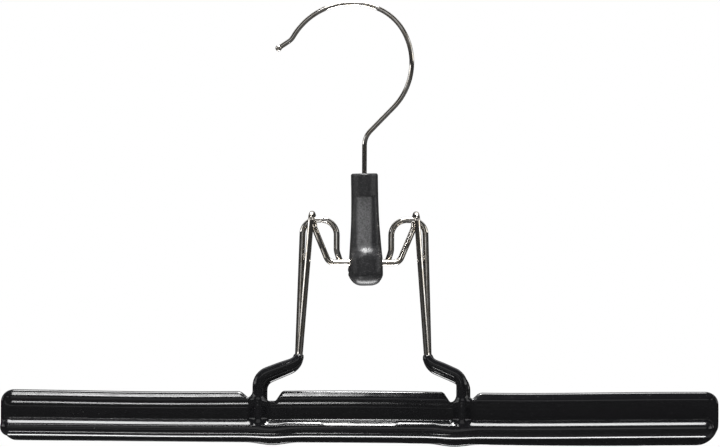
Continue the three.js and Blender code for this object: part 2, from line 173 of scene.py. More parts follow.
def noise(tree, place, scale, detail=2.0, roughness=0.5):
    """Cloudy noise over the piece's own coordinates."""
    node = tree.nodes.new("ShaderNodeTexNoise")
    node.inputs["Scale"].default_value = scale
    node.inputs["Detail"].default_value = detail
    node.inputs["Roughness"].default_value = roughness
    tree.links.new(place, node.inputs["Vector"])
    return node.outputs["Fac"]


def ramp(tree, value, low, high, from_value=0.0, to_value=1.0):
    """The value, taken from low..high to from_value..to_value and held at the ends."""
    node = tree.nodes.new("ShaderNodeMapRange")
    node.inputs["From Min"].default_value = low
    node.inputs["From Max"].default_value = high
    node.inputs["To Min"].default_value = from_value
    node.inputs["To Max"].default_value = to_value
    tree.links.new(value, node.inputs["Value"])
    return node.outputs["Result"]


def blended(tree, share, first, second):
    """A colour between two, by share."""
    node = tree.nodes.new("ShaderNodeMix")
    node.data_type = "RGBA"
    node.inputs["A"].default_value = (*first, 1)
    node.inputs["B"].default_value = (*second, 1)
    tree.links.new(share, node.inputs["Factor"])
    return node.outputs["Result"]


def bump(tree, principled, height, strength, depth):
    """Relief too fine for the mesh, on the shader's normal."""
    node = tree.nodes.new("ShaderNodeBump")
    node.inputs["Strength"].default_value = strength
    node.inputs["Distance"].default_value = depth
    tree.links.new(height, node.inputs["Height"])
    tree.links.new(node.outputs["Normal"], principled.inputs["Normal"])


def nickel_finish():
    """Bright nickel plate on drawn wire: warm and nearly mirror-like, clouded and nicked by use."""
    bright = (0.80, 0.775, 0.74)
    clouded = (0.60, 0.55, 0.47)
    material, tree, principled, place = shader("nickel_plate")
    principled.inputs["Metallic"].default_value = 1.0
    cloud = noise(tree, place, scale=420.0, detail=3.0)
    colour = blended(tree, ramp(tree, cloud, 0.40, 0.68), bright, clouded)
    tree.links.new(colour, principled.inputs["Base Color"])
    tree.links.new(ramp(tree, cloud, 0.3, 0.75, 0.05, 0.14), principled.inputs["Roughness"])
    nicks = ramp(tree, noise(tree, place, scale=1500.0, detail=3.0), 0.66, 0.72)
    bump(tree, principled, nicks, strength=0.04, depth=0.00004)
    return material


wire_tree = drawn_wire_tree()
nickel = nickel_finish()
wire_facets = 40
crease_angle = math.radians(35.0)

hook_wire_diameter = 0.0020
head_depth = 0.0110
head_height = 0.0022
head_width = 0.0046
lever_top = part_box("lever")[1][2]
hook_start = (0.0, 0.0, lever_top - head_depth)
hook_bends = [
    0.0117 + head_depth,            # shank, up from the head inside the lever
    (0.0088, math.radians(-44.0)),  # neck
    0.0138,
    (0.0267, math.radians(73.3)),   # crook, in three radii
    (0.0223, math.radians(39.0)),
    (0.0283, math.radians(81.6)),
    (0.0064, math.radians(-26.0)),  # tip, turned out again
    0.0050,
]
hook_points = bent_wire(hook_start, math.pi / 2, hook_bends)

# The tip's bead: part of a ball, its rings closest near the end, and the last one left a little open
tip_bead = 0.0027
bead_rings = 24
bead_spacing = 0.6
last_ring = 0.02
wire_radius = hook_wire_diameter / 2
bead_radius = tip_bead / 2
bead_start = -math.sqrt(bead_radius ** 2 - wire_radius ** 2)
tip_way = (hook_points[-1] - hook_points[-2]).normalized()
tip_centre = hook_points.pop()
hook_radii = [1.0] * len(hook_points)
for step in range(bead_rings + 1):
    share = (1 - math.cos(math.pi / 2 * (step / bead_rings))) ** bead_spacing
    reach = bead_start + (bead_radius - bead_start) * share
    hook_points.append(tip_centre + tip_way * reach)
    wide = math.sqrt(max(bead_radius ** 2 - reach ** 2, 0)) / wire_radius
    hook_radii.append(max(wide, last_ring))

# The upset head, as shares of its height and widths in wires, from the shank downwards
head_wide = head_width / hook_wire_diameter
head_foot_wide = 2.0
for share, wide in ((0.0, head_wide), (0.1, head_wide), (0.9, head_wide), (1.0, head_foot_wide)):
    hook_points.insert(0, Vector(hook_start) - Vector((0, 0, head_height * share)))
    hook_radii.insert(0, wide)

hook = swept("hook_crook", hook_points, hook_wire_diameter, wire_facets, nickel, hook_radii)
hook.data.set_sharp_from_angle(angle=crease_angle)
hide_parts("hook_wire")
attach(hook, "hook")


# Frame wires. Two lengths of thicker nickel-plated wire, each bent to a symmetric spring: stems,
# shoulders, legs, then loops and slanting strands in front, or crests and arched strands behind.
# Their cross wires run through the lever, and the rear wire's crests run through the front's loops.

def filleted(corners, fine=math.radians(4.0)):
    """Points along a wire through corner points, each rounded by its bend radius."""
    points = [Vector(corners[0][0])]
    for before, (corner, bend), after in zip(corners, corners[1:-1], corners[2:]):
        corner = Vector(corner)
        into = (corner - Vector(before[0])).normalized()
        out = (Vector(after[0]) - corner).normalized()
        turn = into.angle(out)
        centre = corner + (out - into).normalized() * bend / math.cos(turn / 2)
        start = corner - into * bend * math.tan(turn / 2) - centre
        axis = into.cross(out).normalized()
        count = max(3, math.ceil(turn / fine))
        for i in range(count + 1):
            points.append(centre + Matrix.Rotation(turn * i / count, 3, axis) @ start)
    points.append(Vector(corners[-1][0]))
    return points


def mirrored(corners):
    """A symmetric wire's corners, from those of its right half."""
    return corners + [((-x, y, z), bend) for (x, y, z), bend in reversed(corners)]


frame_wire_diameter = 0.0025
cross_drop = 0.0373
cross_z = lever_top - cross_drop
cross_y = 0.0020
pin_rise = 0.0174
pin_z = cross_z + pin_rise
front_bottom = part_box("front_jaw_coating")[0][2]
rear_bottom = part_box("rear_jaw_coating")[0][2]
stem_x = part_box("front_frame_wire")[1][0] - frame_wire_diameter / 2
stem_y = 0.00342
stem_foot = 0.00795
shoulder_rise = 0.0176
shoulder_slope = 0.0065
shoulder_bend = 0.0060


def wire_end(side, bottom, leg_x):
    """Stem and shoulder of either frame, up to the start of the leg."""
    shoulder = bottom + stem_foot + shoulder_rise
    return [
        ((stem_x, side * stem_y, bottom + stem_foot), 0),
        ((stem_x, side * stem_y, shoulder), shoulder_bend),
        ((leg_x, side * stem_y, shoulder + shoulder_slope), shoulder_bend),
    ]


front_leg_x = 0.0267
loop_radius = 0.0029
loop_bend = 0.98 * loop_radius
loop_x = 0.0220
loop_drift = 0.0006
strand_foot_x = 0.0147
strand_bend = 0.0036
front_corners = mirrored(wire_end(-1, front_bottom, front_leg_x) + [
    ((loop_x, -loop_radius, pin_z + loop_radius), loop_bend),
    ((loop_x - loop_drift, loop_radius, pin_z + loop_radius), loop_bend),
    ((loop_x - 2 * loop_drift, loop_radius, pin_z - loop_radius), loop_radius),
    ((strand_foot_x, -cross_y, cross_z), strand_bend),
])

rear_leg_x = 0.0275
crest_x = 0.0255
crest_z = pin_z + 0.0005
crest_bend = 0.0060
arch_x = 0.0114
arch_foot = cross_z + 0.0049
arch_bend = 0.0065
cross_end_x = 0.0098
cross_bend = 0.0022
rear_corners = mirrored(wire_end(1, rear_bottom, rear_leg_x) + [
    ((crest_x, 0.0, crest_z), crest_bend),
    ((arch_x, 0.0, crest_z), arch_bend),
    ((arch_x, cross_y / 2, arch_foot), arch_bend),
    ((cross_end_x, cross_y, cross_z), cross_bend),
])

# Both front stems stand a little to the left of the legs' middle
front_stem_shift = -0.0012
outside_legs = 0.04
front_corners = [
    ((x + front_stem_shift * (abs(x) > outside_legs), y, z), bend)
    for (x, y, z), bend in front_corners]
for side, corners in (("front", front_corners), ("rear", rear_corners)):
    name = side + "_frame_bent_wire"
    wire = swept(name, filleted(corners), frame_wire_diameter, wire_facets, nickel)
    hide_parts(side + "_frame_wire")
    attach(wire, side + "_frame")


# Jaw strips. Pressed sheet-steel strips with the lower edge rolled outwards, welded to the stems
# before dipping, and nipped out at the upper edge beside the stems. The coating hides them. Their
# ends stop a little short, where the coating closes over them in a rounded border.

def mill_steel():
    """Bare pressed sheet, dull from the mill."""
    material, tree, principled, place = shader("pressed_sheet")
    principled.inputs["Metallic"].default_value = 1.0
    principled.inputs["Base Color"].default_value = (0.5, 0.5, 0.5, 1)
    roughness = ramp(tree, noise(tree, place, scale=300.0), 0.2, 0.8, 0.35, 0.55)
    tree.links.new(roughness, principled.inputs["Roughness"])
    return material


front_jaw_shift = -0.0014
rear_jaw_shift = -0.0011
strip_end = 0.1435
end_squash = 0.1
wide_nip = 0.0024
nip_from, nip_to = -0.0105, -0.0045
same_point = 0.000001
strip_finish = mill_steel()


def pressed_strip(side, shift):
    """The model's strip with its ends drawn in, and the front one's left clearing nipped wider."""
    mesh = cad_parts[side + "_jaw_strip"].data.copy()
    work = bmesh.new()
    work.from_mesh(mesh)
    bmesh.ops.remove_doubles(work, verts=work.verts, dist=same_point)
    for vert in work.verts:
        beyond = abs(vert.co.x) - strip_end
        if beyond > 0:
            vert.co.x = math.copysign(strip_end + beyond * end_squash, vert.co.x)
        across = abs(vert.co.x) - stem_x
        if side == "front" and vert.co.x < 0 and nip_from < across < nip_to:
            vert.co.x += wide_nip
        vert.co.x += shift
    work.to_mesh(mesh)
    work.free()
    mesh.materials.clear()
    mesh.materials.append(strip_finish)
    return placed(side + "_pressed_strip", mesh)


for side, shift in (("front", front_jaw_shift), ("rear", rear_jaw_shift)):
    strip = pressed_strip(side, shift)
    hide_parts(side + "_jaw_strip")
    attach(strip, side + "_frame")


# Jaw coatings. Each welded frame's jaw, stems and shoulders are dipped in liquid black vinyl, which
# cures as one thick glossy skin, sags a little below the stems and runs out thin on the legs. It is
# the zero surface of a distance field: along the jaw, out from the clamp face, and up from the foot.

half_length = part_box("front_jaw_coating")[1][0]
jaw_height = 0.0195
jaw_corner = 0.0054
foot_corner = {-1: (0.0054, 0.0054), 1: (0.0066, 0.0095)}
clamp_face = 0.00035
pad_front = 0.0034
coat_rise = 0.0348
wire_coat = 0.0012
taper_end = 0.0003
taper_length = 0.0040
stem_fillet = 0.0024


def near_polyline(points, *at):
    """Least distance from the points at (arrays, one for each axis) to a polyline."""
    best = None
    for a, b in zip(points, points[1:]):
        way = [q - p for p, q in zip(a, b)]
        length2 = sum(w * w for w in way)
        share = sum((c - p) * w for c, p, w in zip(at, a, way)) / length2
        share = np.clip(share, 0.0, 1.0)
        gap2 = sum((c - p - share * w) ** 2 for c, p, w in zip(at, a, way))
        best = gap2 if best is None else np.minimum(best, gap2)
    return np.sqrt(best)


def both(a, b, edge):
    """Where the solids a and b are both, with the edge between them rounded."""
    inside = np.minimum(np.maximum(a, b) + edge, 0)
    round_edge = np.hypot(np.maximum(a + edge, 0), np.maximum(b + edge, 0))
    return inside + round_edge - edge


def either(a, b, fillet):
    """Where either solid is, with the corner between them filled."""
    outside = np.maximum(np.minimum(a, b), fillet)
    return outside - np.hypot(np.maximum(fillet - a, 0), np.maximum(fillet - b, 0))


def eased(value, low, high):
    """0 below low, 1 above high, and a smooth step between."""
    share = np.clip((value - low) / (high - low), 0.0, 1.0)
    return share * share * (3 - 2 * share)


def hump(x, centre, reach):
    """1 at the centre, falling away smoothly to either side."""
    return np.exp(-((x - centre) / reach) ** 2 / 2)


def rounded_rectangle(x, z, half_x, high, low_corner, high_corner):
    """A rectangle up from z = 0, with its lower and its upper corners rounded."""
    corner = np.where(z < high / 2, low_corner, high_corner)
    dx = np.abs(x) - (half_x - corner)
    dz = np.abs(z - high / 2) - (high / 2 - corner)
    return np.hypot(np.maximum(dx, 0), np.maximum(dz, 0)) + np.minimum(np.maximum(dx, dz), 0) - corner


# Clearing in the upper edge beside each stem: reach from the stem's axis, and depth. The front jaw's
# left one was nipped out wider towards the middle.
outer_reach, outer_depth = 0.0072, 0.0026
inner_reach, inner_depth = 0.0078, 0.0041
wide_inner_reach = 0.0100
notch_flank = 0.0028
notch_blend = 0.002
notch_steepness = 0.75


def notch(x, up, side):
    """The room that the clearings take out of a jaw's upper edge."""
    across = np.abs(x - front_stem_shift * (side < 0)) - stem_x
    reach = np.where((side < 0) & (x < 0), wide_inner_reach, inner_reach)
    outer = np.minimum(outer_depth, (outer_reach - across) * outer_depth / notch_flank)
    inner = np.minimum(inner_depth, (reach + across) * inner_depth / notch_flank)
    depth = inner + (outer - inner) * eased(across, -notch_blend, notch_blend)
    return (jaw_height - depth - up) * notch_steepness


# How a jaw's edges wander up and down from pressing and dipping: rise, centre and reach of each swell
upper_swells = (
    (0.00020, 0, 0.025), (-0.00065, -0.085, 0.032), (-0.00050, 0.062, 0.025), (0.0005, 0.150, 0.03))
lower_swells = {
    -1: ((-0.00035, -0.075, 0.03), (0.0009, 0.165, 0.04), (-0.00025, 0.062, 0.022)),
    1: ((-0.00030, -0.05, 0.04), (-0.00105, 0.085, 0.045)),
}
edge_parting = (0.007, 0.013)


def wander(x, swells):
    """How far an edge stands above its straight line."""
    return sum(rise * hump(x, centre, reach) for rise, centre, reach in swells)


roll_front = 0.00675
roll_radius = 0.0038
roll_fillet = 0.00015
roll_ends = {-1: (0.0036, 0.0060), 1: (0.0060, 0.0100)}
shoulder_turn = math.radians(48.0)
shoulder_depth = 0.00025
shoulder_edge = 0.00025
round_from = (0.014, 0.019)
round_to = (0.028, 0.034)
round_gain = 0.0008


def rolled_edge(along, out, up, side):
    """The roll along the jaw's foot, which stops in a ball short of each end.

    Its shoulder is flattened, but for a fuller stretch on either side of the middle.
    """
    left_end, right_end = roll_ends[side]
    beyond = np.maximum(-along - half_length + left_end, along - half_length + right_end)
    beyond = np.maximum(beyond, 0)
    forward = out - roll_front + roll_radius
    above = up - roll_radius
    away = np.abs(along)
    full = eased(away, *round_from) * (1 - eased(away, *round_to))
    shoulder = forward * math.cos(shoulder_turn) + above * math.sin(shoulder_turn)
    shoulder = shoulder - roll_radius + shoulder_depth
    tube = np.sqrt(beyond ** 2 + forward ** 2 + above ** 2) - roll_radius
    return both(tube, shoulder - round_gain * full, shoulder_edge)


rib_level = 0.01605
rib_half = 0.0032
rib_height = 0.00106
rib_end = 0.0046


def shallow_rib(along, up):
    """How far the pressed rib near the upper edge stands out of the pad, with rounded ends."""
    beyond = np.maximum(np.abs(along) - half_length + rib_end, 0)
    share = np.clip(np.hypot(beyond, up - rib_level) / rib_half, 0, 1)
    return rib_height * (1 + np.cos(np.pi * share)) / 2


# Rounding of the vinyl's edges, the bevel round the pad's rim, and the sags below the stems
pad_edge = 0.0004
rim_depth = 0.0005
rim_out, rim_up = 0.67, 0.74
rim_edge = 0.0003
face_edge = 0.0003
notch_edge = 0.0009
dip_edge = 0.00025
sag_place, sag_reach = 0.038, 0.005
sag_fade = (0.002, 0.005)


def coat_field(x, out, up, side, sag, stem_path, shift):
    """About the distance outside one jaw's whole coating, less than 0 within it."""
    along = x - shift
    foot = wander(x, lower_swells[side])
    level = up - foot + (foot - wander(x, upper_swells)) * eased(up, *edge_parting)
    swell = sag * hump(np.abs(x), sag_place, sag_reach) * (1 - eased(level, *sag_fade))
    left_foot, right_foot = foot_corner[side]
    low_corner = np.where(along < 0, left_foot, right_foot)
    outline = rounded_rectangle(along, level, half_length, jaw_height, low_corner, jaw_corner)
    pad = both(out - pad_front - shallow_rib(along, level), outline, pad_edge)
    pad = both(pad, (out - pad_front) * rim_out + outline * rim_up + rim_depth, rim_edge)
    jaw = either(pad, rolled_edge(along, out, level, side) - swell, roll_fillet)
    jaw = both(jaw, clamp_face - out, face_edge)
    jaw = both(jaw, -notch(x, level, side), notch_edge)
    top = stem_path[0][-1][2]
    thinned = np.clip((up - top + taper_length) / taper_length, 0, 1) ** 2
    coat = taper_end + (wire_coat - taper_end) * (1 - thinned)
    left, right = stem_path
    sleeve = np.minimum(near_polyline(left, x, out, up), near_polyline(right, x, out, up))
    sleeve = sleeve - (frame_wire_diameter / 2 + coat)
    sleeve = both(sleeve, up - top, dip_edge)
    return either(jaw, sleeve, stem_fillet)


def coated_wire(points, side, bottom):
    """The stretch of a wire from its end up to where the dip ended, in the jaw's own axes."""
    stop = front_bottom + coat_rise
    kept = []
    for p, q in zip(points, points[1:]):
        kept.append(p)
        if q.z > stop:
            kept.append(p.lerp(q, (stop - p.z) / (q.z - p.z)))
            break
    return [(p.x, p.y * side, p.z - bottom) for p in kept]


# Room round the jaw that the grid covers, its cell, and how its points are moved onto the surface
stem_bend_step = math.radians(9.0)
room_ends = 0.0032
room_behind, room_front = 0.0012, 0.0088
room_below, room_above = 0.0028, 0.0016
cell = np.array((0.0008, 0.0004, 0.0004))
far_away = 0.01
rounds = 4
tiny = 0.00002
least_slope2 = 0.05
most_move = 0.0003


def dipped_skin(name, side, bottom, sag, corners, shift, finish):
    """One coating as a smooth closed mesh.

    The field is laid on a grid, its zero surface is meshed, and each point is moved onto the field's
    own zero surface.
    """
    wire = filleted(corners, stem_bend_step)
    stems = [coated_wire(wire, side, bottom), coated_wire(wire[::-1], side, bottom)]
    stop = stems[0][-1][2]
    low = np.array((-half_length - room_ends, -room_behind, -room_below))
    high = np.array((half_length + room_ends, room_front, stop + room_above))
    counts = np.ceil((high - low) / cell).astype(int) + 1
    axes = [low[i] + cell[i] * np.arange(counts[i]) for i in range(3)]
    x, out, up = np.meshgrid(*axes, indexing="ij", sparse=True)
    field = coat_field(x, out, up, side, sag, stems, shift).astype(np.float32)
    grid = openvdb.FloatGrid(far_away)
    grid.copyFromArray(field)
    points, triangles, quads = grid.convertToPolygons(isovalue=0.0, adaptivity=0.0)
    points = points.astype(float) * cell + low
    for _ in range(rounds):
        here = coat_field(*points.T, side, sag, stems, shift)
        slope = np.stack([
            (coat_field(*(points + tiny * np.eye(3)[i]).T, side, sag, stems, shift) - here) / tiny
            for i in range(3)], axis=1)
        slope2 = np.maximum((slope ** 2).sum(axis=1, keepdims=True), least_slope2)
        points -= np.clip(here[:, None] * slope / slope2, -most_move, most_move)
    points[:, 1] *= side
    points[:, 2] += bottom
    mesh = bpy.data.meshes.new(name)
    mesh.from_pydata(points.tolist(), [], triangles.tolist() + quads.tolist())
    work = bmesh.new()
    work.from_mesh(mesh)
    bmesh.ops.recalc_face_normals(work, faces=work.faces)
    work.to_mesh(mesh)
    work.free()
    mesh.shade_smooth()
    mesh.materials.append(finish)
    return placed(name, mesh)


def vinyl_finish():
    """Thick black dip coating: deep gloss with a faint orange peel, and a little dust."""
    black = (0.010, 0.010, 0.0115)
    dust_grey = (0.16, 0.16, 0.16)
    material, tree, principled, place = shader("black_dipped_vinyl")
    principled.inputs["IOR"].default_value = 1.55
    dust = ramp(tree, noise(tree, place, scale=2300.0), 0.71, 0.76)
    tree.links.new(blended(tree, dust, black, dust_grey), principled.inputs["Base Color"])
    wear = noise(tree, place, scale=160.0, detail=4.0)
    tree.links.new(ramp(tree, wear, 0.35, 0.75, 0.09, 0.16), principled.inputs["Roughness"])
    bump(tree, principled, noise(tree, place, scale=190.0), strength=0.10, depth=0.0001)
    return material


vinyl = vinyl_finish()
front_sag = 0.0005
rear_sag = 0.0012
for side, sign, bottom, sag, corners, shift in (
        ("front", -1, front_bottom, front_sag, front_corners, front_jaw_shift),
        ("rear", 1, rear_bottom, rear_sag, rear_corners, rear_jaw_shift)):
    skin = dipped_skin(side + "_jaw_dipped_skin", sign, bottom, sag, corners, shift, vinyl)
    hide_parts(side + "_jaw_coating")
    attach(skin, side + "_frame")


# Lever. One moulding of black plastic: a round collar, a flat thumb face with a fine mould line, and
# a bulb at the foot. The front cross wire turns in its round hole, and the rear one runs in its
# spiral slot. It sits a little askew on its wires, as far as its loose holes let it.

lever_length = 0.0469
collar_height = 0.0094
round_half = 0.00565
lever_edge = 0.0009
foot_bend = 0.0050
thumb_flat = 0.0043
lever_turn = Euler((0.0, math.radians(-1.3), math.radians(5.5)))
lever_place = Matrix.Translation((0.0, 0.0, lever_top)) @ lever_turn.to_matrix().to_4x4()

# The moulding's half width down its length, and the depth of its front, which swells to the bulb
form_drops = (0.0, collar_height, 0.0200, 0.0280, 0.0348, lever_length)
form_half = (round_half, round_half, 0.00587, 0.00642, 0.00695, 0.00695)
width_ease = 0.0030
front_drops = (0.0, 0.0303, 0.0331, 0.0350, 0.0415, lever_length)
front_depths = (thumb_flat, thumb_flat, 0.0070, 0.0075, 0.0078, 0.0078)
depth_ease = 0.0009
bulb_drop = 0.0412
bulb_end = lever_length + 0.0002
ease_samples = 9


def eased_form(drop, drops, values, ease):
    """The listed values at a drop, with their corners eased over a short reach."""
    return float(np.mean(np.interp(drop + np.linspace(-ease, ease, ease_samples), drops, values)))


# Where the thumb face begins, and where the section turns rounder in front and squarer all round
thumb_start = (collar_height - 0.0006, collar_height + 0.0002)
rounder_reach = (0.0290, 0.0350)
squarer_reach = (0.0330, 0.0355)
point_crowding = 0.012
edge_power = 10
mould_line, mould_line_half = 0.00008, 0.00012
lug_height, lug_drop, lug_tall = 0.0014, 0.0411, 0.0014
lug_angle, lug_wide = 152.0, 13.0
least_share = 0.0001
least_depth = 0.00001


def lever_ring(drop, count):
    """Points round the moulding at a drop below its top, before it is turned into place."""
    half = eased_form(drop, form_drops, form_half, width_ease)
    depth = eased_form(drop, front_drops, front_depths, depth_ease)
    if drop > bulb_drop:
        share = (drop - bulb_drop) / (bulb_end - bulb_drop)
        depth *= math.sqrt(max(1 - share ** 2, least_share))
    inset = 0.0
    if drop < lever_edge:
        inset = lever_edge - math.sqrt(lever_edge ** 2 - (lever_edge - drop) ** 2)
    if drop > lever_length - foot_bend:
        below = drop - lever_length + foot_bend
        inset = foot_bend - math.sqrt(max(foot_bend ** 2 - below ** 2, 0))
    thumb = float(eased(drop, *thumb_start))
    rounder = float(eased(drop, *rounder_reach))
    squarer = 2 + float(eased(drop, *squarer_reach))
    ring = []
    for i in range(count):
        turn = i / count
        angle = 2 * math.pi * (turn + point_crowding * math.sin(4 * math.pi * turn))
        c, s = math.cos(angle), math.sin(angle)
        fuller = (abs(c) ** squarer + abs(s) ** squarer) ** (-1 / squarer)
        x, y = (half - inset) * c * fuller, (round_half - inset) * s * fuller
        if s < 0:
            full = (max(round_half, depth) - inset * (drop < bulb_drop)) * -s
            full = max(full, least_depth)
            flat = depth + (2 * round_half - depth) * (1 - thumb)
            pressed = (full ** -edge_power + flat ** -edge_power) ** (-1 / edge_power)
            y = -(pressed + (depth * -s * fuller - pressed) * rounder)
            y -= mould_line * math.exp(-(x / mould_line_half) ** 2) * (drop > collar_height)
        lug = hump(drop, lug_drop, lug_tall) * hump(math.degrees(angle), lug_angle, lug_wide)
        ring.append((x - lug_height * float(lug), y, -drop))
    return ring


def lever_shell(drops, count):
    """The closed outside of the moulding, turned into its place."""
    work = bmesh.new()
    loops = []
    for drop in drops:
        loops.append([work.verts.new(p) for p in lever_ring(drop, count)])
    for upper, lower in zip(loops, loops[1:]):
        for i in range(count):
            j = (i + 1) % count
            work.faces.new((upper[i], lower[i], lower[j], upper[j]))
    work.faces.new(list(reversed(loops[-1])))
    work.faces.new(loops[0])
    bmesh.ops.recalc_face_normals(work, faces=work.faces)
    bmesh.ops.transform(work, matrix=lever_place, verts=work.verts)
    return work


def as_object(name, work):
    """The worked mesh as a new object in the scene."""
    mesh = bpy.data.meshes.new(name)
    work.to_mesh(mesh)
    work.free()
    return placed(name, mesh)


def prism_along_x(name, outline, half_span):
    """A cutter: the (y, z) outline run along X."""
    work = bmesh.new()
    near = [work.verts.new((-half_span, y, z)) for y, z in outline]
    far = [work.verts.new((half_span, y, z)) for y, z in outline]
    for i in range(len(outline)):
        j = (i + 1) % len(outline)
        work.faces.new((near[i], near[j], far[j], far[i]))
    work.faces.new(list(reversed(near)))
    work.faces.new(far)
    bmesh.ops.recalc_face_normals(work, faces=work.faces)
    return as_object(name, work)


open_angle = math.radians(9.4)
flip_angle = math.radians(90.0)


def turned(y, z, angle):
    """A point in the YZ plane, turned about the origin."""
    return y * math.cos(angle) - z * math.sin(angle), y * math.sin(angle) + z * math.cos(angle)


def rear_wire_in_lever(share):
    """Rear cross wire as the lever sees it, from the front cross wire, when flipped by that share."""
    y, z = turned(cross_y, -pin_rise, open_angle * share)
    return turned(y + cross_y, z + pin_rise, -flip_angle * share)


def slot_outline(radius, count=24):
    """Outline of the spiral slot: both sides of the rear wire's way, with round ends."""
    way = [rear_wire_in_lever(i / count) for i in range(count + 1)]
    end_turns = [math.radians(15 * k) for k in range(5, -6, -1)]
    sides = ([], [])
    ends = []
    for i, (y, z) in enumerate(way):
        (ya, za), (yb, zb) = way[max(i - 1, 0)], way[min(i + 1, count)]
        angle = math.atan2(zb - za, yb - ya)
        for edge, sign in zip(sides, (1, -1)):
            across = sign * radius
            edge_y = y - across * math.sin(angle) - cross_y
            edge_z = z + across * math.cos(angle) + cross_z
            edge.append((edge_y, edge_z))
        if i in (0, count):
            way_out = angle + (math.pi if i == 0 else 0)
            y, z = y - cross_y, z + cross_z
            ends.append([
                (y + radius * math.cos(way_out + a), z + radius * math.sin(way_out + a))
                for a in end_turns])
    return sides[0] + ends[1] + sides[1][::-1] + ends[0]


def cut(target, cutter):
    """Take the cutter out of the target."""
    modifier = target.modifiers.new("cut", "BOOLEAN")
    modifier.operation = "DIFFERENCE"
    modifier.solver = "EXACT"
    modifier.object = cutter
    bpy.context.view_layer.update()
    graph = bpy.context.evaluated_depsgraph_get()
    mesh = bpy.data.meshes.new_from_object(target.evaluated_get(graph), depsgraph=graph)
    target.modifiers.clear()
    target.data = mesh
    bpy.data.objects.remove(cutter)


hole_facets = 48


def upright_cylinder(name, radius, low, high):
    """A cutter round the shank's axis."""
    work = bmesh.new()
    bmesh.ops.create_cone(
        work, cap_ends=True, segments=hole_facets, radius1=radius, radius2=radius, depth=high - low,
        matrix=Matrix.Translation((0, 0, (low + high) / 2)))
    return as_object(name, work)


def worked(tree, operation, *values):
    """One step of arithmetic in a node tree, on sockets or plain numbers."""
    node = tree.nodes.new("ShaderNodeMath")
    node.operation = operation
    for socket, value in zip(node.inputs, values):
        if isinstance(value, float):
            socket.default_value = value
        else:
            tree.links.new(value, socket)
    return node.outputs[0]


def chained(tree, operation, *values):
    """The operation on the first two values, then on its result and the next one, to the last."""
    total = values[0]
    for value in values[1:]:
        total = worked(tree, operation, total, value)
    return total


def lever_finish():
    """Satin black moulding, pebbled with a fine grain, with a paler thumb face that is painted sheen
    where the face catches the light, and light specks all over that are painted glints on the grain.
    """
    black = (0.030, 0.030, 0.032)
    # Painted sheen: the grey that the thumb face is painted towards, where it catches the light
    face_sheen_grey = (0.25, 0.25, 0.255)
    collar_z = lever_top - collar_height
    face_sheen_half = (0.0024, 0.0036)
    face_sheen_front = (-0.0024, -0.0034)
    face_sheen_foot = (lever_top - 0.0330, lever_top - 0.0290)
    face_sheen_top = (collar_z - 0.0006, collar_z)
    material, tree, principled, place = shader("black_moulded_lever")
    split = tree.nodes.new("ShaderNodeSeparateXYZ")
    tree.links.new(place, split.inputs[0])
    # Painted sheen: a patch on the thumb face, between the collar and the bulb, painted paler where it
    # catches the light, mottled by noise
    painted_face_sheen = chained(
        tree, "MULTIPLY",
        ramp(tree, worked(tree, "ABSOLUTE", split.outputs["X"]), *face_sheen_half, 1.0, 0.0),
        ramp(tree, split.outputs["Y"], *face_sheen_front),
        ramp(tree, split.outputs["Z"], *face_sheen_foot),
        ramp(tree, split.outputs["Z"], *face_sheen_top, 1.0, 0.0),
        ramp(tree, noise(tree, place, scale=1500.0, detail=3.0), 0.35, 0.62, 0.45, 1.0))
    # Painted glints: light specks over the whole moulding, standing in for the grain catching the
    # light
    painted_glint_specks = ramp(tree, noise(tree, place, scale=1900.0), 0.54, 0.66, 0.0, 0.22)
    colour = blended(tree, worked(tree, "MAXIMUM", painted_face_sheen, painted_glint_specks), black, face_sheen_grey)
    tree.links.new(colour, principled.inputs["Base Color"])
    principled.inputs["Roughness"].default_value = 0.33
    grain = noise(tree, place, scale=1700.0, detail=3.0, roughness=0.6)
    bump(tree, principled, grain, strength=0.5, depth=0.00007)
    return material


# Drops of the moulding's rings, closest at its rounded ends and at the step below the collar
foot_start = lever_length - foot_bend
step_from, step_to = collar_height - 0.0007, collar_height + 0.0006
step_room = 0.0009
edge_rings, collar_rings, step_rings, body_rings, foot_rings = 8, 12, 22, 80, 32
drops = [lever_edge * (1 - math.cos(math.pi / 2 * i / edge_rings)) for i in range(edge_rings)]
drops += list(np.linspace(lever_edge, collar_height - step_room, collar_rings))
drops += list(np.linspace(step_from, step_to, step_rings))
drops += list(np.linspace(collar_height + step_room, foot_start, body_rings))[:-1]
drops += [
    lever_length - foot_bend * (1 - math.sin(math.pi / 2 * i / foot_rings))
    for i in range(foot_rings + 1)]
ring_points = 192
lever = as_object("lever_moulding", lever_shell(drops, ring_points))

# Cross hole, spiral slot, bore for the shank and room for the hook's head
run_fit = 0.0003
cutter_half = 0.012
bore_overshoot = 0.002
hole_radius = frame_wire_diameter / 2 + run_fit
hole_turns = [2 * math.pi * k / hole_facets for k in range(hole_facets)]
hole_outline = [
    (-cross_y + hole_radius * math.cos(a), cross_z + hole_radius * math.sin(a)) for a in hole_turns]
cut(lever, prism_along_x("hole", hole_outline, cutter_half))
cut(lever, prism_along_x("slot", slot_outline(hole_radius), cutter_half))
head_low = lever_top - head_depth - head_height
head_top = head_low + head_height + run_fit
bore_top = lever_top + bore_overshoot
cut(lever, upright_cylinder("bore", hook_wire_diameter / 2 + run_fit, head_low, bore_top))
cut(lever, upright_cylinder("head_room", head_width / 2 + run_fit, head_low - run_fit, head_top))

lever.data.materials.clear()
lever.data.materials.append(lever_finish())
lever.data.shade_smooth()
lever.data.set_sharp_from_angle(angle=crease_angle)
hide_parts("lever")
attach(lever, "lever")


# Stage. A plain white floor and backdrop, a dark room round the camera that the bright wire shows
# as its dark middle, narrow lamps above and below that draw the white lines along the jaws, and a
# small lamp over the lever that lights its bulb.

floor_white = (0.9, 0.9, 0.9, 1)
floor_gloss = 0.10


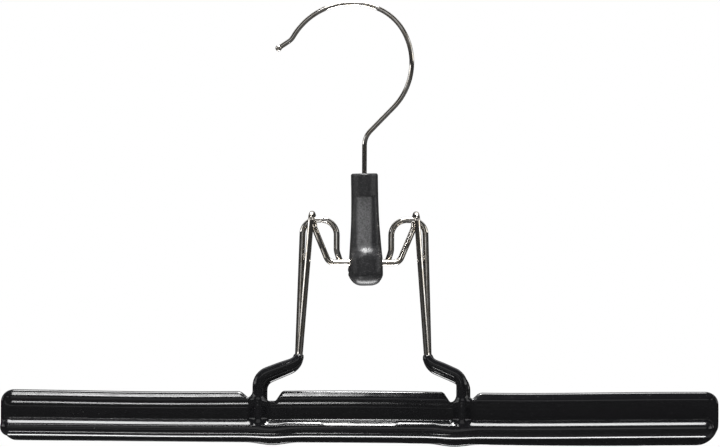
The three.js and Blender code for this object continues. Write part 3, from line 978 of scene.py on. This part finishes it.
def floor_finish():
    """White to the camera, dim in the object's gloss, and otherwise lit and shadowed as a floor is."""
    material, tree, principled, _ = shader("white_floor")
    principled.inputs["Base Color"].default_value = floor_white
    principled.inputs["Roughness"].default_value = 0.9
    glow = tree.nodes.new("ShaderNodeEmission")
    ray = tree.nodes.new("ShaderNodeLightPath")
    strength = ramp(tree, ray.outputs["Is Camera Ray"], 0, 1, floor_gloss, 1.0)
    tree.links.new(strength, glow.inputs["Strength"])
    seen = worked(tree, "MAXIMUM", ray.outputs["Is Camera Ray"], ray.outputs["Is Glossy Ray"])
    mix = tree.nodes.new("ShaderNodeMixShader")
    tree.links.new(seen, mix.inputs["Fac"])
    tree.links.new(principled.outputs["BSDF"], mix.inputs[1])
    tree.links.new(glow.outputs["Emission"], mix.inputs[2])
    tree.links.new(mix.outputs["Shader"], tree.nodes["Material Output"].inputs["Surface"])
    return material


floor_drop = 0.55
floor_half = 3.0
floor_place = Matrix.Translation((0, 0, cad_box[0][2] - floor_drop))
floor_work = bmesh.new()
bmesh.ops.create_grid(floor_work, x_segments=1, y_segments=1, size=floor_half, matrix=floor_place)
floor = as_object("floor", floor_work)
floor.data.materials.append(floor_finish())

jaw_middle = Vector((0.0, 0.0, (front_bottom + rear_bottom + jaw_height) / 2))


def strip_lamp(name, elevation, distance, left, right, angle, radiance):
    """A lamp along X, at an elevation from the camera's side, that shows as a line in the gloss."""
    tall = 2 * distance * math.tan(math.radians(angle) / 2)
    data = bpy.data.lights.new(name, "AREA")
    data.shape = "RECTANGLE"
    data.size = right - left
    data.size_y = tall
    data.energy = radiance * math.pi * (right - left) * tall
    lamp = placed(name, data)
    turn = math.radians(elevation)
    way = Vector((0, -math.cos(turn), math.sin(turn)))
    lamp.location = jaw_middle + way * distance + Vector(((left + right) / 2, 0, 0))
    lamp.rotation_euler = (-way).to_track_quat("-Z", "Y").to_euler()


# Name, elevation, distance, left and right end, height as an angle, and radiance
for lamp_values in (
        ("upper_left_lamp", 51.6, 0.80, -0.26, -0.006, 3.2, 20.0),
        ("lower_left_lamp", -57.4, 0.60, -0.25, -0.006, 3.2, 20.0),
        ("overhead_lamp", 94.0, 0.85, -0.27, 0.27, 26.0, 14.0),
        ("lever_lamp", 80.0, 0.60, -0.035, 0.030, 14.0, 60.0),
        ("under_lamp", -110.0, 0.45, -0.24, 0.24, 20.0, 14.0)):
    strip_lamp(*lamp_values)

scene = bpy.context.scene
world = scene.world or bpy.data.worlds.new("studio")
scene.world = world
world.use_nodes = True
room = world.node_tree
background = room.nodes["Background"]
background.inputs["Strength"].default_value = 1.0

# Patches of the room, each where the direction's parts forwards (Y), up (Z) and to the sides (X) lie
# in certain ranges with soft edges: a ceiling behind the hanger, two low bands and a panel before it,
# a faint glow straight ahead, and a window on each side
split = room.nodes.new("ShaderNodeSeparateXYZ")
room.links.new(room.nodes.new("ShaderNodeTexCoord").outputs["Generated"], split.inputs[0])
to_right, to_back, height = split.outputs["X"], split.outputs["Y"], split.outputs["Z"]
sideways = worked(room, "ABSOLUTE", to_right)
drop = worked(room, "MULTIPLY", height, -1.0)
facing = ramp(room, to_back, -0.45, -0.60)
on_right = ramp(room, to_right, 0.0, 0.03)
on_left = worked(room, "SUBTRACT", 1.0, on_right)

room_level = 0.035
ceiling_level = 0.85
left_band_level = 0.9
right_band_level = 1.6
panel_level = 0.6
ahead_level = 0.12
window_level = 2.2

ceiling = chained(
    room, "MULTIPLY",
    ramp(room, to_back, 0.20, 0.40),
    ramp(room, height, 0.42, 0.56, 0.0, ceiling_level))
left_band = chained(
    room, "MULTIPLY",
    ramp(room, drop, 0.09, 0.13),
    ramp(room, drop, 0.24, 0.32, left_band_level, 0.0),
    on_left)
right_band = chained(
    room, "MULTIPLY",
    ramp(room, drop, 0.42, 0.50),
    ramp(room, drop, 0.60, 0.68, right_band_level, 0.0),
    on_right)
bands = chained(
    room, "MULTIPLY",
    worked(room, "ADD", left_band, right_band),
    facing,
    ramp(room, sideways, 0.25, 0.50, 1.0, 0.0))
panel = chained(
    room, "MULTIPLY",
    ramp(room, height, 0.07, 0.14),
    ramp(room, height, 0.40, 0.50, panel_level, 0.0),
    ramp(room, sideways, 0.30, 0.45, 1.0, 0.0),
    facing)
straight_ahead = chained(
    room, "MULTIPLY",
    ramp(room, drop, 0.038, 0.046),
    ramp(room, drop, 0.08, 0.40, ahead_level, 0.0),
    facing)
window = chained(
    room, "MULTIPLY",
    ramp(room, sideways, 0.76, 0.84, 0.0, window_level),
    ramp(room, height, 0.06, 0.09),
    ramp(room, height, 0.16, 0.22, 1.0, 0.5),
    ramp(room, height, 0.40, 0.50, 1.0, 0.0),
    ramp(room, to_back, 0.20, 0.35, 1.0, 0.0))
level = chained(room, "MAXIMUM", ceiling, bands, panel, straight_ahead, window, room_level)

# The camera itself sees white
is_camera = room.nodes.new("ShaderNodeLightPath").outputs["Is Camera Ray"]
level = worked(room, "MULTIPLY", level, worked(room, "SUBTRACT", 1.0, is_camera))
room.links.new(worked(room, "ADD", level, is_camera), background.inputs["Color"])

# Camera: level, far off, and turned a little about its own axis
photo_width = 720
metres_per_pixel = 0.000418
camera_distance = 1.6
camera_roll = math.radians(-0.335)
view_middle = Vector((-0.0017, 0.0, -0.0905))
camera_data = bpy.data.cameras.new("camera")
camera_data.sensor_width = 36.0
camera_data.lens = camera_data.sensor_width * camera_distance / (photo_width * metres_per_pixel)
camera_data.clip_end = 20.0
camera = placed("camera", camera_data)
camera.location = view_middle + Vector((0, -camera_distance, 0))
camera.rotation_euler = (math.radians(90.0), camera_roll, 0.0)
scene.camera = camera
scene.view_settings.view_transform = "Standard"
